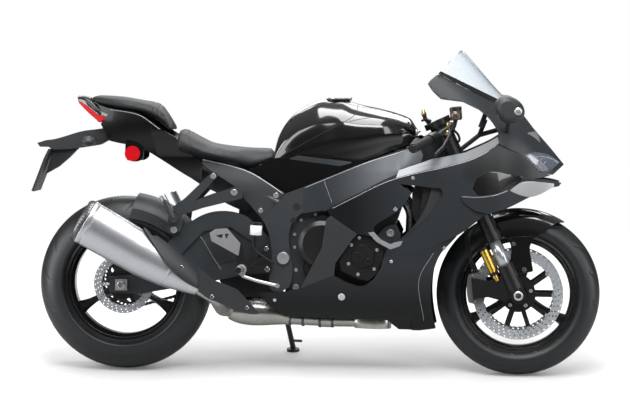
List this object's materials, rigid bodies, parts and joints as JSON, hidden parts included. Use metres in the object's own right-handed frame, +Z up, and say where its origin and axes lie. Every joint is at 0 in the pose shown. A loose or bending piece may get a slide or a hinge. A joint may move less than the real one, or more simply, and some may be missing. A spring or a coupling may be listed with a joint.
{
  "type": "sport bike",
  "caption": "Faired sport motorcycle leaning on its side stand, with turning wheels, steering, a folding stand and a hinged fuel cap.",
  "frame": {"origin": "under the middle of the object's box, on the floor it is parked on", "axes": "+X forward along the bike, +Y to the rider's left, +Z up from the floor; the bike leans to +Y on its side stand"},
  "size_m": [2.095, 0.7562, 1.1767],
  "materials": {
    "frame_black": "satin",
    "engine_black": "satin",
    "radiator_black": "matte",
    "exhaust_steel": "satin",
    "brushed_can": "satin",
    "plastic_black": "matte",
    "caliper_grey": "satin",
    "fork_black": "satin",
    "chain_steel": "satin",
    "step_silver": "satin",
    "gloss_black": "gloss",
    "seat_cover": "matte",
    "satin_black": "satin",
    "red_lens": "gloss",
    "clear_lens": "gloss",
    "clear_screen": "gloss",
    "winglet_silver": "satin",
    "stand_steel": "satin",
    "gas_gold": "polished",
    "grip_rubber": "matte",
    "wheel_black": "satin",
    "tyre_rubber": "matte",
    "disc_steel": "satin"
  },
  "bodies": {
    "chassis": {"main_frame": "frame_black", "subframe": "frame_black", "engine": "engine_black", "engine_covers": "engine_black", "radiator": "radiator_black", "exhaust_headers": "exhaust_steel", "exhaust_chamber": "exhaust_steel", "muffler": "brushed_can", "muffler_shield": "plastic_black", "swingarm": "frame_black", "rear_caliper": "caliper_grey", "rear_hugger": "plastic_black", "rear_shock": "fork_black", "drive_chain": "chain_steel", "rider_steps": "step_silver", "pedals": "step_silver", "pillion_hangers": "frame_black", "fuel_tank": "gloss_black", "rider_seat": "seat_cover", "pillion_seat": "seat_cover", "tail_cowl": "satin_black", "seat_side_covers": "plastic_black", "red_lenses": "red_lens", "plate_holder": "plastic_black", "nose_cowl": "satin_black", "headlamps": "clear_lens", "windscreen": "clear_screen", "side_cowls": "satin_black", "lower_cowls": "satin_black", "engine_panels": "plastic_black", "inner_panels": "plastic_black", "winglets": "winglet_silver", "mirrors": "plastic_black", "instrument": "plastic_black"},
    "steering": {"fork_outer_tubes": "fork_black", "fork_legs": "fork_black", "gas_cylinders": "gas_gold", "triple_clamps": "fork_black", "handlebars": "fork_black", "grips": "grip_rubber", "lever_sets": "fork_black", "front_fender": "gloss_black", "front_calipers": "caliper_grey"},
    "front_wheel": {"front_rim": "wheel_black", "front_tyre": "tyre_rubber", "front_discs": "disc_steel"},
    "rear_wheel": {"rear_rim": "wheel_black", "rear_tyre": "tyre_rubber", "rear_disc": "disc_steel", "rear_sprocket": "disc_steel"},
    "side_stand": {"side_stand": "stand_steel"},
    "fuel_cap": {"fuel_cap": "fork_black"}
  },
  "joints": [
    {"name": "steering_turn", "type": "hinge", "parent": "chassis", "child": "steering", "pos_m": [0.47904, -0.02636, 0.78935], "axis": [-0.4226, 0.1574, 0.8925], "range_deg": [-27, 27]},
    {"name": "front_wheel_spin", "type": "hinge", "parent": "steering", "child": "front_wheel", "pos_m": [0.7475, -0.11318, 0.29694], "axis": [0, 0.9848, -0.1736], "continuous": true},
    {"name": "rear_wheel_spin", "type": "hinge", "parent": "chassis", "child": "rear_wheel", "pos_m": [-0.7025, -0.10971, 0.31664], "axis": [0, 0.9848, -0.1736], "continuous": true},
    {"name": "side_stand_fold", "type": "hinge", "parent": "chassis", "child": "side_stand", "pos_m": [-0.1465, 0.07121, 0.25427], "axis": [0.095, 0.9664, 0.2389], "range_deg": [0, 104]},
    {"name": "fuel_cap_hinge", "type": "hinge", "parent": "chassis", "child": "fuel_cap", "pos_m": [0.1255, 0.01027, 0.99708], "axis": [0, 0.9848, -0.1736], "range_deg": [0, 95]}
  ]
}
